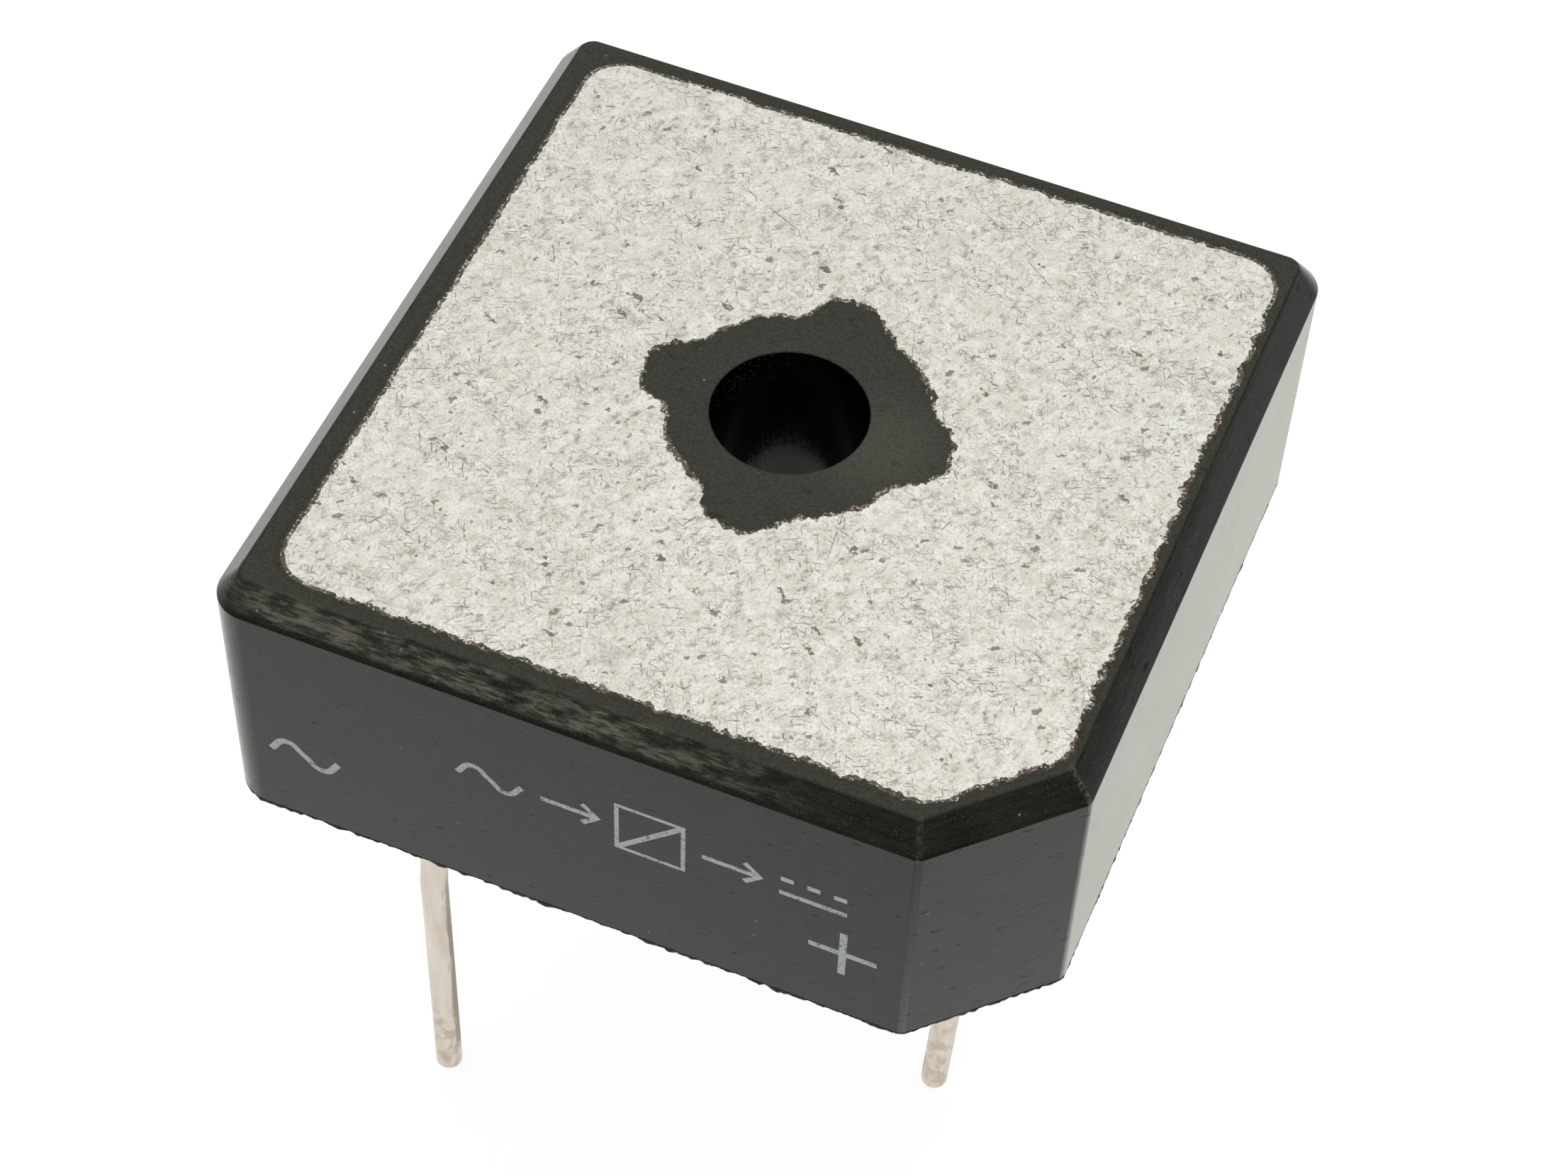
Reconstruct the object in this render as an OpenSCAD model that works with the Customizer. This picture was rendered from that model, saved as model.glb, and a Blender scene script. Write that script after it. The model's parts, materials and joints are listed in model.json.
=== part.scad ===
// Single-phase bridge rectifier in a square moulded package with four wire leads.
// Millimetres. +Z points up, the origin is on the axis of the mounting hole at the
// level of the lead tips: the package stands on its leads with its metal base up.
// The chamfered corner, which marks the positive lead, is at +X -Y.

/* [Body] */
// Side of the square moulding
body_w = 28.5; // [27:0.1:32]
// Height of the moulding without the leads
body_h = 11.1; // [9:0.1:15]
// Radius of the three square vertical corners
corner_r = 1.3; // [0.9:0.1:3]
// Leg of the polarity chamfer along each side
chamfer_leg = 4.1; // [2.5:0.1:5]
// Radius of the two vertical edges of the chamfer
chamfer_edge_r = 0.4; // [0.2:0.1:0.7]
// Inset of the bevel round the metal side
bevel_in = 0.8; // [0.4:0.05:1]
// Height of the bevel round the metal side
bevel_h = 1; // [0.4:0.05:1.6]
// Diameter of the screw hole
hole_d = 5.3; // [4.5:0.1:6]

/* [Base plate] */
// Moulding left between the side of the body and the edge of the plate
plate_border = 1.25; // [1.1:0.05:2]
// Thickness of the plate
plate_t = 2; // [1.5:0.1:3]
// Sideways offset of the plate in the moulding, towards +X
plate_shift = 0.24; // [0:0.01:0.3]
// Radius of the plate's corners
plate_corner_r = 1.7; // [1:0.1:3]
// Leg of the plate's chamfer
plate_chamfer = 3.35; // [3:0.05:6]
// Moulding left in the plate's opening round the screw hole
opening_wall = 1.55; // [1:0.05:2.2]
// Width of the four keying notches of the opening
key_w = 2; // [1.6:0.1:3.2]
// Depth of a notch past the round of the opening
key_depth = 0.9; // [0.4:0.1:1.4]
// Radius of a notch's two end corners
key_r = 0.5; // [0.2:0.1:0.7]

/* [Leads] */
// Diameter of the wire leads
lead_d = 1.02; // [0.8:0.01:1.2]
// Length of the leads below the moulding
lead_len = 22.6; // [12:0.1:32]
// Distance of the lead lines from the sides of the moulding
lead_inset = 5.2; // [5:0.1:5.6]
// Spacing between the positive lead and its neighbour on the same side
plus_pitch = 11.4; // [10.9:0.1:11.9]
// Diameter of the nail head that is soldered down
head_d = 2.2; // [1.6:0.1:3]
// Thickness of the nail head
head_t = 0.5; // [0.3:0.05:0.8]
// How much the wire swells where it is bent
bend_swell = 0.01; // [0.005:0.005:0.03]
// Straight length of a lead where it leaves the moulding
lead_stub = 0.8; // [0.4:0.1:3]
// How far the two leads at -X stand out of line at their knee
bow_out = 0.65; // [0:0.05:1]
// How far below the moulding those two have their knee
bow_drop = 10; // [6:0.5:11]
// How far the tips of the two leads at +X lean inwards
lean_in = 0.9; // [0:0.05:1.5]

/* [Circuit] */
// Moulding between the base plate and the nearer electrodes
insulation_t = 0.8; // [0.5:0.05:1.2]
// Width of the copper electrodes
electrode_w = 4; // [3.8:0.1:4.4]
// Thickness of the copper electrodes
electrode_t = 0.6; // [0.4:0.05:0.8]
// Cut on the outer corner of an electrode
electrode_cut = 1; // [0.4:0.1:1.6]
// Electrode past the edge of a die
electrode_end = 0.3; // [0.1:0.05:0.6]
// Side of a diode die
die_w = 3.6; // [2.8:0.1:3.8]
// Thickness of a diode die
die_t = 0.3; // [0.2:0.02:0.4]
// Width of the sloped rim of a die
die_rim = 0.35; // [0.2:0.05:0.5]
// Depth of the sloped rim of a die
die_step = 0.12; // [0.06:0.01:0.15]
// Side of the raised pad that touches a die
pad_w = 2.5; // [1.8:0.1:2.6]
// Height of the raised pad
pad_h = 0.25; // [0.15:0.05:0.5]
// Thickness of the solder layers
solder_t = 0.08; // [0.05:0.01:0.12]
// How far the die between the positive and right leads is moved from the middle
side_die_y = 2.9; // [2.4:0.1:3.3]

/* [Lead side] */
// Diameter of the ejector pin marks
ejector_d = 3; // [2:0.1:4]
// Depth of the ejector pin marks
ejector_depth = 0.15; // [0.1:0.05:0.3]
// Distance of an ejector pin mark from the two sides nearest to it
ejector_inset = 8.5; // [7:0.1:9]

/* [Hidden] */

round_fn = 64;
cut = 1; // how far a cutting shape reaches past what it cuts
join = 0.02; // how far neighbouring pockets in the moulding reach into each other

body_bottom = lead_len;
body_top = body_bottom + body_h;
bevel_foot = body_top - bevel_h;
plate_w = body_w - 2 * plate_border;
opening_r = hole_d / 2 + opening_wall;

// Levels of the circuit, from the plate down to the lead side
inner_top = body_top - plate_t - insulation_t;   // electrodes next to the plate
inner_bottom = inner_top - electrode_t;
die_top = inner_bottom - solder_t;
die_bottom = die_top - die_t;
pad_top = die_bottom - solder_t;
outer_top = pad_top - pad_h;                      // electrodes across the dice
outer_bottom = outer_top - electrode_t;

// Distance of the lead and electrode lines from the hole's axis
line = body_w / 2 - lead_inset;
stub_z = body_bottom - lead_stub;
knee_z = body_bottom - bow_drop;
die_reach = die_w / 2 + electrode_end;
strip_end = line + electrode_w / 2;

// Places of the leads where they leave the moulding
plus_place = [line, line - plus_pitch];
minus_place = [-line, line];
ac_front_place = [-line, -line];
ac_back_place = [line, line];

// Places of the dice, in the middle of each side of the ring of electrodes
front_place = [0, -line];
right_place = [line, side_die_y];
back_place = [0, line];
left_place = [-line, 0];

// Corners of a square with its +X -Y corner cut, anticlockwise from -X -Y
function cut_square(w, leg) = [
    [-w / 2, -w / 2],
    [w / 2 - leg, -w / 2],
    [w / 2, -w / 2 + leg],
    [w / 2, w / 2],
    [-w / 2, w / 2]
];
// Radius at each of those corners
function cut_square_radii(r, r_cut) = [r, r_cut, r_cut, r, r];

function unit(v) = v / norm(v);
// Half of the angle between the two edges that meet at a corner
function half_angle(before, at, after) =
    acos(unit(before - at) * unit(after - at)) / 2;
// Centre of the round that fits a corner
function round_centre(before, at, after, r) =
    at + unit(unit(before - at) + unit(after - at)) * r / sin(half_angle(before, at, after));
// Where that round touches the edge that leads to the point "to"
function touch_point(before, at, after, r, to) =
    at + unit(to - at) * r / tan(half_angle(before, at, after));

// Kite from the centre of a corner's round out past the corner
module corner_kite(before, at, after, r) {
    centre = round_centre(before, at, after, r);
    reach = 1.6;
    polygon([
        centre,
        centre + reach * (touch_point(before, at, after, r, before) - centre),
        centre + reach * (at - centre),
        centre + reach * (touch_point(before, at, after, r, after) - centre)
    ]);
}

// Flat outline with every corner rounded by its own radius
module rounded_outline(corners, radii) {
    count = len(corners);
    difference() {
        polygon(corners);
        for (i = [0 : count - 1]) {
            before = corners[(i + count - 1) % count];
            after = corners[(i + 1) % count];
            difference() {
                corner_kite(before, corners[i], after, radii[i]);
                translate(round_centre(before, corners[i], after, radii[i]))
                    circle(r = radii[i], $fn = round_fn);
            }
        }
    }
}

// Wedge that cuts the bevel along the edge from a to b
module bevel_wedge(a, b) {
    along = b - a;
    span = norm(along) + 4 * cut;
    slope = [bevel_in, -bevel_h];
    inner = [-bevel_in, body_top] - slope / 2;
    foot = [0, bevel_foot] + slope / 2;
    translate([(a[0] + b[0]) / 2, (a[1] + b[1]) / 2, 0])
        rotate([90, 0, atan2(-along[0], along[1])])
            linear_extrude(height = span, center = true)
                polygon([inner, foot, [foot[0] + bevel_in, inner[1]]]);
}

// Everything outside the round of one vertical corner. A round wider than the bevel
// narrows along it, and a smaller one ends in the sharp edge between two bevels.
module corner_cutter(before, at, after, r) {
    top_r = r > bevel_in ? r - bevel_in : r;
    difference() {
        translate([0, 0, body_bottom - cut])
            linear_extrude(height = cut + body_h)
                corner_kite(before, at, after, r);
        translate(round_centre(before, at, after, r)) {
            translate([0, 0, body_bottom - 2 * cut])
                cylinder(r = r, h = 2 * cut + body_h - bevel_h, $fn = round_fn);
            translate([0, 0, bevel_foot])
                cylinder(r1 = r, r2 = top_r, h = bevel_h, $fn = round_fn);
        }
    }
}

// Outer form of the moulding: chamfered square, rounded corners, bevel on the metal side
module body_form() {
    corners = cut_square(body_w, chamfer_leg);
    radii = cut_square_radii(corner_r, chamfer_edge_r);
    count = len(corners);
    difference() {
        translate([0, 0, body_bottom])
            linear_extrude(height = body_h) polygon(corners);
        for (i = [0 : count - 1]) {
            before = corners[(i + count - 1) % count];
            after = corners[(i + 1) % count];
            bevel_wedge(corners[i], after);
            corner_cutter(before, corners[i], after, radii[i]);
        }
    }
}

// Shallow round marks that the ejector pins leave on the lead side
module ejector_marks() {
    from_axis = body_w / 2 - ejector_inset;
    for (turn = [0 : 90 : 270])
        rotate(turn)
            translate([from_axis, from_axis, body_bottom - cut])
                cylinder(d = ejector_d, h = cut + ejector_depth, $fn = round_fn);
}

// One-piece epoxy moulding, cast round the plate, the circuit and the lead heads
module body() {
    color([0.2, 0.2, 0.2])
        difference() {
            body_form();
            translate([0, 0, body_bottom - cut])
                cylinder(d = hole_d, h = body_h + 2 * cut, $fn = round_fn);
            ejector_marks();
            plate_form(plate_t + cut);
            plus_electrode();
            minus_electrode();
            ac_electrode_front();
            ac_electrode_back();
            for (place = [front_place, right_place, back_place, left_place])
                die_pocket(place);
            plus_lead();
            minus_lead();
            ac_lead_front();
            ac_lead_back();
            lead_solder_pocket(plus_place, inner_bottom);
            lead_solder_pocket(minus_place, inner_bottom);
            lead_solder_pocket(ac_front_place, outer_bottom);
            lead_solder_pocket(ac_back_place, outer_bottom);
        }
}

// Outline of one keying notch, from the hole's axis out along +X
module key_notch() {
    reach = opening_r + key_depth;
    translate([0, -key_w / 2])
        square([reach - key_r, key_w]);
    translate([0, key_r - key_w / 2])
        square([reach, key_w - 2 * key_r]);
    for (side = [-1, 1])
        translate([reach - key_r, side * (key_w / 2 - key_r)])
            circle(r = key_r, $fn = round_fn);
}

// Form of the base plate with its keyed centre opening, standing on the plate's inner face
module plate_form(height) {
    translate([plate_shift, 0, body_top - plate_t])
        linear_extrude(height = height)
            difference() {
                rounded_outline(cut_square(plate_w, plate_chamfer),
                                cut_square_radii(plate_corner_r, plate_corner_r / 2));
                circle(r = opening_r, $fn = round_fn);
                for (turn = [0 : 90 : 270])
                    rotate(turn) key_notch();
            }
}

// Aluminium base plate, flush with the moulding
module base_plate()
    color([0.82, 0.82, 0.8]) plate_form(plate_t);

// Square block round a place, from one level up to another
module block(place, width, bottom, top)
    translate([place[0] - width / 2, place[1] - width / 2, bottom])
        cube([width, width, top - bottom]);

// Round disc the size of a lead's head, from one level up to another
module head_disc(place, bottom, top)
    translate([place[0], place[1], bottom])
        cylinder(d = head_d, h = top - bottom, $fn = round_fn);

// L-shaped copper electrode round one corner of the ring.
// x_end and y_end are where its two legs stop, towards the opposite sides.
module electrode(side, x_end, y_end, bottom) {
    inner = line - electrode_w / 2;
    color([0.76, 0.45, 0.3])
        translate([0, 0, bottom])
            linear_extrude(height = electrode_t)
                polygon([
                    [side[0] * (strip_end - electrode_cut), side[1] * strip_end],
                    [side[0] * strip_end, side[1] * (strip_end - electrode_cut)],
                    [side[0] * strip_end, y_end],
                    [side[0] * inner, y_end],
                    [side[0] * inner, side[1] * inner],
                    [x_end, side[1] * inner],
                    [x_end, side[1] * strip_end]
                ]);
}

// Raised pad of an outer electrode, pressed towards its die
module contact_pad(place)
    color([0.76, 0.45, 0.3]) block(place, pad_w, outer_bottom, pad_top);

module plus_electrode()
    electrode([1, -1], front_place[0] - die_reach, right_place[1] + die_reach, inner_bottom);

module minus_electrode()
    electrode([-1, 1], back_place[0] + die_reach, left_place[1] - die_reach, inner_bottom);

module ac_electrode_front() {
    electrode([-1, -1], front_place[0] + die_reach, left_place[1] + die_reach, outer_bottom);
    contact_pad(front_place);
    contact_pad(left_place);
}

module ac_electrode_back() {
    electrode([1, 1], back_place[0] - die_reach, right_place[1] - die_reach, outer_bottom);
    contact_pad(back_place);
    contact_pad(right_place);
}

// Silicon die with a rim that slopes back from the side of its contact pad
module die(place) {
    color([0.35, 0.36, 0.4])
        translate([place[0], place[1], die_bottom])
            intersection() {
                die_profile();
                rotate(90) die_profile();
            }
}

// Side view of a die, run across the whole die
module die_profile() {
    full = die_w / 2;
    flat = full - die_rim;
    rotate([90, 0, 0])
        linear_extrude(height = die_w + 2 * cut, center = true)
            polygon([
                [-flat, 0], [flat, 0],
                [full, die_step], [full, die_t],
                [-full, die_t], [-full, die_step]
            ]);
}

module front_die() die(front_place);
module right_die() die(right_place);
module back_die() die(back_place);
module left_die() die(left_place);

// The two solder layers of a die: full size behind it, the size of the pad in front
module die_solder(place) {
    color([0.62, 0.63, 0.64]) {
        block(place, die_w, die_top, inner_bottom);
        block(place, pad_w, pad_top, die_bottom);
    }
}

// Pocket in the moulding for a die and its solder, open to the pockets of both electrodes
module die_pocket(place) {
    die(place);
    block(place, die_w, die_bottom + die_step, inner_bottom + join);
    block(place, pad_w, outer_top, die_bottom + join);
}

module front_die_solder() die_solder(front_place);
module right_die_solder() die_solder(right_place);
module back_die_solder() die_solder(back_place);
module left_die_solder() die_solder(left_place);

// Round wire from one point to another
module wire(from, to) {
    way = to - from;
    translate(from)
        rotate([0, acos(way[2] / norm(way)), atan2(way[1], way[0])])
            cylinder(d = lead_d, h = norm(way), $fn = round_fn);
}

// Tinned copper lead: a nail head, then wire straight down to the first bend and on
// through the others. The last point is the middle of the tip, cut level with the rest.
module lead(head_top, points) {
    last = len(points) - 1;
    shank_top = [points[0][0], points[0][1], head_top - head_t / 2];
    tip_way = points[last] - points[last - 1];
    route = [
        shank_top,
        for (i = [0 : last - 1]) points[i],
        points[last] + tip_way * cut / norm(tip_way)
    ];
    color([0.84, 0.81, 0.77])
        difference() {
            union() {
                head_disc(shank_top, head_top - head_t, head_top);
                for (i = [0 : last])
                    wire(route[i], route[i + 1]);
                for (i = [0 : last - 1])
                    translate(points[i])
                        sphere(d = lead_d + 2 * bend_swell, $fn = round_fn);
            }
            translate([-body_w, -body_w, -2 * cut])
                cube([2 * body_w, 2 * body_w, 2 * cut]);
        }
}

// Lead on the +X side, which leans inwards all the way from its stub
module leaning_lead(place, electrode_bottom)
    lead(electrode_bottom - solder_t, [
        [place[0], place[1], stub_z],
        [place[0] - lean_in, place[1], 0]
    ]);

// Lead on the -X side, which bows outwards to its knee and drops straight from there
module bowed_lead(place, electrode_bottom)
    lead(electrode_bottom - solder_t, [
        [place[0], place[1], stub_z],
        [place[0] - bow_out, place[1], knee_z],
        [place[0] - bow_out, place[1], 0]
    ]);

module plus_lead() leaning_lead(plus_place, inner_bottom);
module minus_lead() bowed_lead(minus_place, inner_bottom);
module ac_lead_front() bowed_lead(ac_front_place, outer_bottom);
module ac_lead_back() leaning_lead(ac_back_place, outer_bottom);

// Solder between a lead's head and its electrode
module lead_solder(place, electrode_bottom)
    color([0.62, 0.63, 0.64])
        head_disc(place, electrode_bottom - solder_t, electrode_bottom);

// Pocket in the moulding for that solder, open to the pockets of the head and the electrode
module lead_solder_pocket(place, electrode_bottom)
    head_disc(place, electrode_bottom - solder_t - join, electrode_bottom + join);

module plus_lead_solder() lead_solder(plus_place, inner_bottom);
module minus_lead_solder() lead_solder(minus_place, inner_bottom);
module ac_lead_front_solder() lead_solder(ac_front_place, outer_bottom);
module ac_lead_back_solder() lead_solder(ac_back_place, outer_bottom);

body();
base_plate();
plus_electrode();
minus_electrode();
ac_electrode_front();
ac_electrode_back();
front_die();
right_die();
back_die();
left_die();
front_die_solder();
right_die_solder();
back_die_solder();
left_die_solder();
plus_lead();
minus_lead();
ac_lead_front();
ac_lead_back();
plus_lead_solder();
minus_lead_solder();
ac_lead_front_solder();
ac_lead_back_solder();
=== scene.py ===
import bpy
import json
import math
from mathutils import Matrix, Vector

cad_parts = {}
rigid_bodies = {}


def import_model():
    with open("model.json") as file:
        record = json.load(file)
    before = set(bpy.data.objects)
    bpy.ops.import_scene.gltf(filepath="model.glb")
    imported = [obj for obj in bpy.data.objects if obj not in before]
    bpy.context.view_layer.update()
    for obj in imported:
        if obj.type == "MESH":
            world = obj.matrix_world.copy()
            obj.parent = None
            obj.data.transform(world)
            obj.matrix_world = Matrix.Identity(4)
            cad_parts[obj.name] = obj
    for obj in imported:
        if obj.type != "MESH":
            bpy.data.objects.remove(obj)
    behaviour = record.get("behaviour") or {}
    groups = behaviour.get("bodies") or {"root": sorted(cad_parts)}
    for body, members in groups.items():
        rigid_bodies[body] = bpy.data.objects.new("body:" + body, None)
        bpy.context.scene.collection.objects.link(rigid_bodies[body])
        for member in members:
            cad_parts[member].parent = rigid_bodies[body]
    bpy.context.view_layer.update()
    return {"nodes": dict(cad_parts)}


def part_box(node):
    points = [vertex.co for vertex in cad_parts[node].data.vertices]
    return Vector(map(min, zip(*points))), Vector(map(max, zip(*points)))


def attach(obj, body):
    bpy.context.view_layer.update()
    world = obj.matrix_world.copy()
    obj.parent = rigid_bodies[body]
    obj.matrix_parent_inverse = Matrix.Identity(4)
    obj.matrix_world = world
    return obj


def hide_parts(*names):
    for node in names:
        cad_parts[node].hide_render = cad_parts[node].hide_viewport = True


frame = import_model()
nodes = frame["nodes"]
mm = 0.001                                   # the frame is in metres, the sizes below in millimetres
mergeWithin, flatWithin = 0.0005, 0.4        # a copied node's doubles in mm, its flat faces in degrees
print("frame loaded,", len(nodes), "nodes")


# small helpers for working on pieces

def objectMode():
    if bpy.context.object and bpy.context.object.mode != "OBJECT":
        bpy.ops.object.mode_set(mode="OBJECT")


def choose(piece):                           # makes it the only selected object
    objectMode()
    bpy.ops.object.select_all(action="DESELECT")
    piece.select_set(True)
    bpy.context.view_layer.objects.active = piece


def openEdit(piece, selectMode="VERT"):
    choose(piece)
    bpy.ops.object.mode_set(mode="EDIT")
    bpy.ops.mesh.select_mode(type=selectMode)
    bpy.ops.mesh.select_all(action="DESELECT")


def pick(piece, selectMode, test):           # selects what passes the test, and nothing else
    openEdit(piece, selectMode)
    bpy.ops.object.mode_set(mode="OBJECT")
    mesh = piece.data
    group = {"VERT": mesh.vertices, "EDGE": mesh.edges, "FACE": mesh.polygons}[selectMode]
    count = 0
    for element in group:
        if test(element):
            element.select = True
            count += 1
    bpy.ops.object.mode_set(mode="EDIT")
    return count


def edgeEnds(piece, edge):
    return [piece.data.vertices[i].co / mm for i in edge.vertices]


def copyNode(nodeName, pieceName):           # a merged copy of a CAD node, free of the frame's marks
    choose(nodes[nodeName])
    bpy.ops.object.duplicate()
    piece = bpy.context.object
    bpy.ops.object.parent_clear(type="CLEAR_KEEP_TRANSFORM")
    piece.name = piece.data.name = pieceName
    for mark in list(piece.keys()):
        if mark.startswith("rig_"):
            del piece[mark]
    bpy.ops.mesh.customdata_custom_splitnormals_clear()
    openEdit(piece)
    bpy.ops.mesh.select_all(action="SELECT")
    bpy.ops.mesh.remove_doubles(threshold=mergeWithin * mm)
    bpy.ops.mesh.dissolve_limited(angle_limit=math.radians(flatWithin))
    objectMode()
    return piece


def applyAll(piece):
    choose(piece)
    for modifier in list(piece.modifiers):
        bpy.ops.object.modifier_apply(modifier=modifier.name)


def settle(piece, slotName, *replaced):      # last step of every piece
    choose(piece)
    bpy.ops.object.transform_apply(location=True, rotation=True, scale=True)
    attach(piece, "root")
    if replaced:
        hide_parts(*replaced)


# levels and edges, from the frame

bodyLow, bodyHigh = (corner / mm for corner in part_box("body"))
plateLow, plateHigh = (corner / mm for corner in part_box("base_plate"))
topLevel, lowLevel = bodyHigh.z, bodyLow.z
halfWidth = bodyHigh.x
footLevel = max(v.co.z / mm for v in nodes["body"].data.vertices if v.co.x / mm < bodyLow.x + 0.01)
chamferLeg, bevelInset, boreRadius = 4.1, 0.8, 2.65      # as in the part's source
chamferLine = 2 * halfWidth - chamferLeg     # x - y along the chamfer

# camera

cameraSet = {
    "place": (27.53, -73.37, 123.96),        # millimetres
    "right": (0.9235, 0.3825, 0.0280),
    "down": (0.3174, -0.7214, -0.6155),
    "lens": 83.3,
    "sensor": 36,
    "shift": (-0.0015, 0.0063),
    "nearest": 0.005,                        # metres
    "farthest": 10,
}


def placeCamera():
    bpy.ops.object.camera_add()
    camera = bpy.context.object
    right = Vector(cameraSet["right"]).normalized()
    up = -Vector(cameraSet["down"]).normalized()
    back = right.cross(up).normalized()
    up = back.cross(right)
    turn = Matrix((right, up, back)).transposed().to_4x4()
    camera.matrix_world = Matrix.Translation(Vector(cameraSet["place"]) * mm) @ turn
    camera.data.lens = cameraSet["lens"]
    camera.data.sensor_width = cameraSet["sensor"]
    camera.data.shift_x, camera.data.shift_y = cameraSet["shift"]
    camera.data.clip_start = cameraSet["nearest"]
    camera.data.clip_end = cameraSet["farthest"]
    bpy.context.scene.camera = camera


placeCamera()
print("camera placed")

# light and floor

lightSet = {
    "panelSize": 0.9,                        # metres
    "panelPlace": (-0.05, 0.35, 0.8),
    "panelPower": 2.0,                       # watts
    "sky": (0.25, 0.9),                      # its strength low down and overhead
    "skyRise": (0.1, 0.8),                   # heights between which it brightens, 0 level and 1 overhead
}

floorSet = {
    "size": 3,                               # metres
    "paper": (0.8, 0.8, 0.8, 1),             # what lights the object from below
    "seen": (0.25, 0.25, 0.25, 1),           # what is seen of it, with its glow
    "glow": 0.88,
}


def addNode(tree, kind, **settings):
    node = tree.nodes.new(kind)
    for key, value in settings.items():
        if hasattr(node, key):
            setattr(node, key, value)
        else:
            node.inputs[key.replace("_", " ")].default_value = value
    return node


def addPanel():
    bpy.ops.object.light_add(type="AREA", location=lightSet["panelPlace"])
    panel = bpy.context.object
    panel.data.shape = "RECTANGLE"
    panel.data.size = panel.data.size_y = lightSet["panelSize"]
    panel.data.energy = lightSet["panelPower"]
    aim = Vector((0, 0, topLevel * mm)) - panel.location
    panel.rotation_euler = aim.to_track_quat("-Z", "Y").to_euler()


def lightRoom():
    world = bpy.data.worlds.new("room")
    bpy.context.scene.world = world
    world.use_nodes = True
    tree = world.node_tree
    tree.nodes.clear()
    coords = addNode(tree, "ShaderNodeTexCoord")
    parts = addNode(tree, "ShaderNodeSeparateXYZ")
    rise = addNode(tree, "ShaderNodeMapRange", interpolation_type="SMOOTHSTEP")
    rise.inputs["From Min"].default_value, rise.inputs["From Max"].default_value = lightSet["skyRise"]
    rise.inputs["To Min"].default_value, rise.inputs["To Max"].default_value = lightSet["sky"]
    sky = addNode(tree, "ShaderNodeBackground")
    white = addNode(tree, "ShaderNodeBackground")
    path = addNode(tree, "ShaderNodeLightPath")
    mix = addNode(tree, "ShaderNodeMixShader")
    out = addNode(tree, "ShaderNodeOutputWorld")
    tree.links.new(coords.outputs["Generated"], parts.inputs[0])
    tree.links.new(parts.outputs["Z"], rise.inputs["Value"])
    tree.links.new(rise.outputs[0], sky.inputs["Strength"])
    white.inputs["Strength"].default_value = 1.0
    tree.links.new(path.outputs["Is Camera Ray"], mix.inputs[0])
    tree.links.new(sky.outputs[0], mix.inputs[1])
    tree.links.new(white.outputs[0], mix.inputs[2])
    tree.links.new(mix.outputs[0], out.inputs["Surface"])


def layFloor():
    bpy.ops.mesh.primitive_plane_add(size=floorSet["size"], location=(0, 0, 0))
    floor = bpy.context.object
    floor.name = "floor"
    paper = bpy.data.materials.new("whitePaper")
    paper.use_nodes = True
    tree = paper.node_tree
    tree.nodes.clear()
    diffuse = addNode(tree, "ShaderNodeBsdfDiffuse", Color=floorSet["paper"])
    faint = addNode(tree, "ShaderNodeBsdfDiffuse", Color=floorSet["seen"])
    glow = addNode(tree, "ShaderNodeEmission", Strength=floorSet["glow"])
    seen = addNode(tree, "ShaderNodeAddShader")
    path = addNode(tree, "ShaderNodeLightPath")
    either = addNode(tree, "ShaderNodeMath", operation="MAXIMUM")
    every = addNode(tree, "ShaderNodeMath", operation="MAXIMUM")
    mix = addNode(tree, "ShaderNodeMixShader")
    out = addNode(tree, "ShaderNodeOutputMaterial")
    tree.links.new(faint.outputs[0], seen.inputs[0])
    tree.links.new(glow.outputs[0], seen.inputs[1])
    tree.links.new(path.outputs["Is Camera Ray"], either.inputs[0])
    tree.links.new(path.outputs["Is Glossy Ray"], either.inputs[1])
    tree.links.new(either.outputs[0], every.inputs[0])
    tree.links.new(path.outputs["Is Transmission Ray"], every.inputs[1])
    tree.links.new(every.outputs[0], mix.inputs[0])
    tree.links.new(diffuse.outputs[0], mix.inputs[1])
    tree.links.new(seen.outputs[0], mix.inputs[2])
    tree.links.new(mix.outputs[0], out.inputs["Surface"])
    floor.data.materials.append(paper)


addPanel()
lightRoom()
layFloor()
bpy.context.scene.view_settings.view_transform = "Standard"
print("light and floor ready")

# small helpers for materials

def startMaterial(name, **settings):
    material = bpy.data.materials.new(name)
    material.use_nodes = True
    shader = material.node_tree.nodes["Principled BSDF"]
    for key, value in settings.items():
        socket = shader.inputs[key.replace("_", " ")]
        socket.default_value = (*value, 1) if isinstance(value, tuple) else value
    return material, material.node_tree, shader


def place(tree, sizes=(1, 1, 1), turn=0, shift=(0, 0, 0)):   # Object coordinates, one unit per size in mm
    coords = addNode(tree, "ShaderNodeTexCoord")
    mapping = addNode(tree, "ShaderNodeMapping", vector_type="TEXTURE")
    mapping.inputs["Location"].default_value = [value * mm for value in shift]
    mapping.inputs["Rotation"].default_value[2] = math.radians(turn)
    mapping.inputs["Scale"].default_value = [size * mm for size in sizes]
    tree.links.new(coords.outputs["Object"], mapping.inputs[0])
    return mapping.outputs[0]


def noise(tree, sizes, detail=2, rough=0.5, shift=(0, 0, 0), turn=0):
    node = addNode(tree, "ShaderNodeTexNoise", Scale=1.0, Detail=detail, Roughness=rough)
    tree.links.new(place(tree, sizes, turn, shift), node.inputs["Vector"])
    return node.outputs[0]


def patterns(tree, table):                   # the noises that a finish is mixed from
    return {name: noise(tree, *row) for name, row in table.items()}


def even(size):
    return size, size, size


def cells(tree, vector):                     # distance to each cell's middle, and two numbers by chance
    node = addNode(tree, "ShaderNodeTexVoronoi", feature="F1", Scale=1.0)
    luck = addNode(tree, "ShaderNodeSeparateColor")
    tree.links.new(vector, node.inputs["Vector"])
    tree.links.new(node.outputs["Color"], luck.inputs[0])
    return node.outputs["Distance"], luck.outputs[0], luck.outputs[1]


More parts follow.
